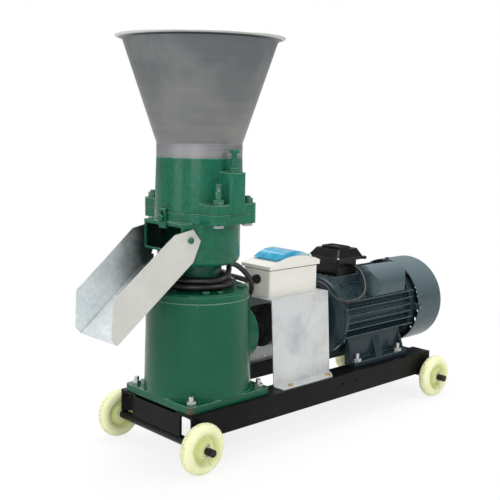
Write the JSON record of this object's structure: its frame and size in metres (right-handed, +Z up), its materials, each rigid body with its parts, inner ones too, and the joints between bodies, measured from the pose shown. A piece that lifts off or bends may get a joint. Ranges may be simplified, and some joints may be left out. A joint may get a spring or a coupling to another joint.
{
  "type": "feed pellet mill",
  "caption": "Flat die pellet mill with a flared hopper and a hinged discharge chute, driven by an electric motor through a gearbox, on a wheeled angle iron frame.",
  "frame": {"origin": "on the floor, under the middle of the machine's length and width", "axes": "+Z up; X along the rails, with the pelleting head and chute at -X and the motor at +X; the control box stands a little towards -Y"},
  "size_m": [0.9552, 0.3336, 0.8162],
  "materials": {
    "axle_steel": "turned bar",
    "black_paint": "gloss enamel on angle iron",
    "black_plastic": "moulded",
    "box_plastic": "moulded",
    "breaker_white": "moulded",
    "chute_sheet": "galvanised sheet",
    "cord_black": "rubber sheath",
    "coupling_black": "oiled casting",
    "galvanised": "galvanised sheet",
    "green_paint": "gloss enamel over cast iron",
    "hardened_steel": "hardened",
    "hopper_sheet": "spun sheet steel",
    "machined_steel": "turned and ground",
    "motor_paint": "gloss enamel over a finned casting",
    "wheel_nylon": "moulded nylon",
    "window_blue": "clear blue moulding",
    "yellow_zinc": "yellow zinc plated",
    "zinc_bolt": "zinc plated"
  },
  "bodies": {
    "machine": {"rail_near": "black_paint", "rail_far": "black_paint", "cross_members": "black_paint", "axles": "axle_steel", "split_pins": "axle_steel", "gearbox_body": "green_paint", "gearbox_cover": "green_paint", "cover_bolts": "green_paint", "base_bolts": "zinc_bolt", "input_cap": "green_paint", "bearings": "machined_steel", "discharge_housing": "green_paint", "upper_chamber": "green_paint", "flange_bolts": "zinc_bolt", "lock_nuts": "green_paint", "hopper": "hopper_sheet", "chute_screws": "zinc_bolt", "motor_frame": "motor_paint", "front_bell": "motor_paint", "rear_bell": "motor_paint", "fan_cowl": "motor_paint", "terminal_box": "black_plastic", "terminal_lid": "black_plastic", "capacitor_hood": "motor_paint", "motor_bolts": "zinc_bolt", "box_bracket": "galvanised", "control_box": "box_plastic", "control_lid": "box_plastic", "cord_gland": "black_plastic", "bracket_screws": "yellow_zinc", "breaker": "breaker_white", "cord_lead": "cord_black", "cord_coil": "cord_black", "cord_arch": "cord_black", "plug": "cord_black", "motor_lead": "cord_black"},
    "drive": {"rotor_shaft": "machined_steel", "cooling_fan": "black_plastic", "motor_hub": "coupling_black", "coupling_pins": "zinc_bolt", "pinion_hub": "coupling_black", "pinion_shaft": "machined_steel"},
    "spindle": {"bevel_gear": "machined_steel", "main_shaft": "machined_steel", "thrower_disc": "hardened_steel", "die_plate": "hardened_steel", "die_nut": "machined_steel"},
    "carriage": {"roller_shaft": "machined_steel", "adjusting_screws": "green_paint"},
    "roller_n": {"roller_near": "hardened_steel"},
    "roller_f": {"roller_far": "hardened_steel"},
    "cutter": {"cutter_blade": "machined_steel"},
    "wheel_fn": {"wheel_front_near": "wheel_nylon"},
    "wheel_ff": {"wheel_front_far": "wheel_nylon"},
    "wheel_rn": {"wheel_rear_near": "wheel_nylon"},
    "wheel_rf": {"wheel_rear_far": "wheel_nylon"},
    "window": {"window_flap": "window_blue"},
    "toggle": {"breaker_toggle": "black_plastic"},
    "chute": {"chute": "chute_sheet"}
  },
  "joints": [
    {"name": "rotor_spin", "type": "hinge", "parent": "machine", "child": "drive", "pos_m": [0.37759, 0, 0.2198], "axis": [1, 0, 0], "continuous": true},
    {"name": "spindle_spin", "type": "hinge", "parent": "machine", "child": "spindle", "pos_m": [-0.22841, 0, 0.2198], "axis": [0, 0, 1], "continuous": true},
    {"name": "roller_lift", "type": "slide", "parent": "machine", "child": "carriage", "axis": [0, 0, 1], "range_m": [0, 0.006]},
    {"name": "roller_near_spin", "type": "hinge", "parent": "carriage", "child": "roller_n", "pos_m": [-0.22841, -0.045, 0.5175], "axis": [0, 1, 0], "continuous": true},
    {"name": "roller_far_spin", "type": "hinge", "parent": "carriage", "child": "roller_f", "pos_m": [-0.22841, 0.045, 0.5175], "axis": [0, 1, 0], "continuous": true},
    {"name": "cutter_slide", "type": "slide", "parent": "machine", "child": "cutter", "axis": [0, 0, -1], "range_m": [0, 0.01]},
    {"name": "wheel_front_near_spin", "type": "hinge", "parent": "machine", "child": "wheel_fn", "pos_m": [-0.32691, -0.1348, 0.05], "axis": [0, 1, 0], "continuous": true},
    {"name": "wheel_front_far_spin", "type": "hinge", "parent": "machine", "child": "wheel_ff", "pos_m": [-0.32691, 0.1348, 0.05], "axis": [0, 1, 0], "continuous": true},
    {"name": "wheel_rear_near_spin", "type": "hinge", "parent": "machine", "child": "wheel_rn", "pos_m": [0.40709, -0.1348, 0.05], "axis": [0, 1, 0], "continuous": true},
    {"name": "wheel_rear_far_spin", "type": "hinge", "parent": "machine", "child": "wheel_rf", "pos_m": [0.40709, 0.1348, 0.05], "axis": [0, 1, 0], "continuous": true},
    {"name": "window_hinge", "type": "hinge", "parent": "machine", "child": "window", "pos_m": [0.04819, 0, 0.37077], "axis": [0, 1, 0], "range_deg": [0, 100]},
    {"name": "breaker_toggle_tip", "type": "hinge", "parent": "machine", "child": "toggle", "pos_m": [-0.00241, 0, 0.359], "axis": [0, 1, 0], "range_deg": [0, 60]},
    {"name": "chute_hinge", "type": "hinge", "parent": "machine", "child": "chute", "pos_m": [-0.30401, 0, 0.4342], "axis": [0, 1, 0], "range_deg": [0, 35]}
  ],
  "couplings": [
    {"joint": "spindle_spin", "follows": "rotor_spin", "ratio": 0.25},
    {"joint": "roller_near_spin", "follows": "rotor_spin", "ratio": -0.32143},
    {"joint": "roller_far_spin", "follows": "rotor_spin", "ratio": 0.32143}
  ]
}
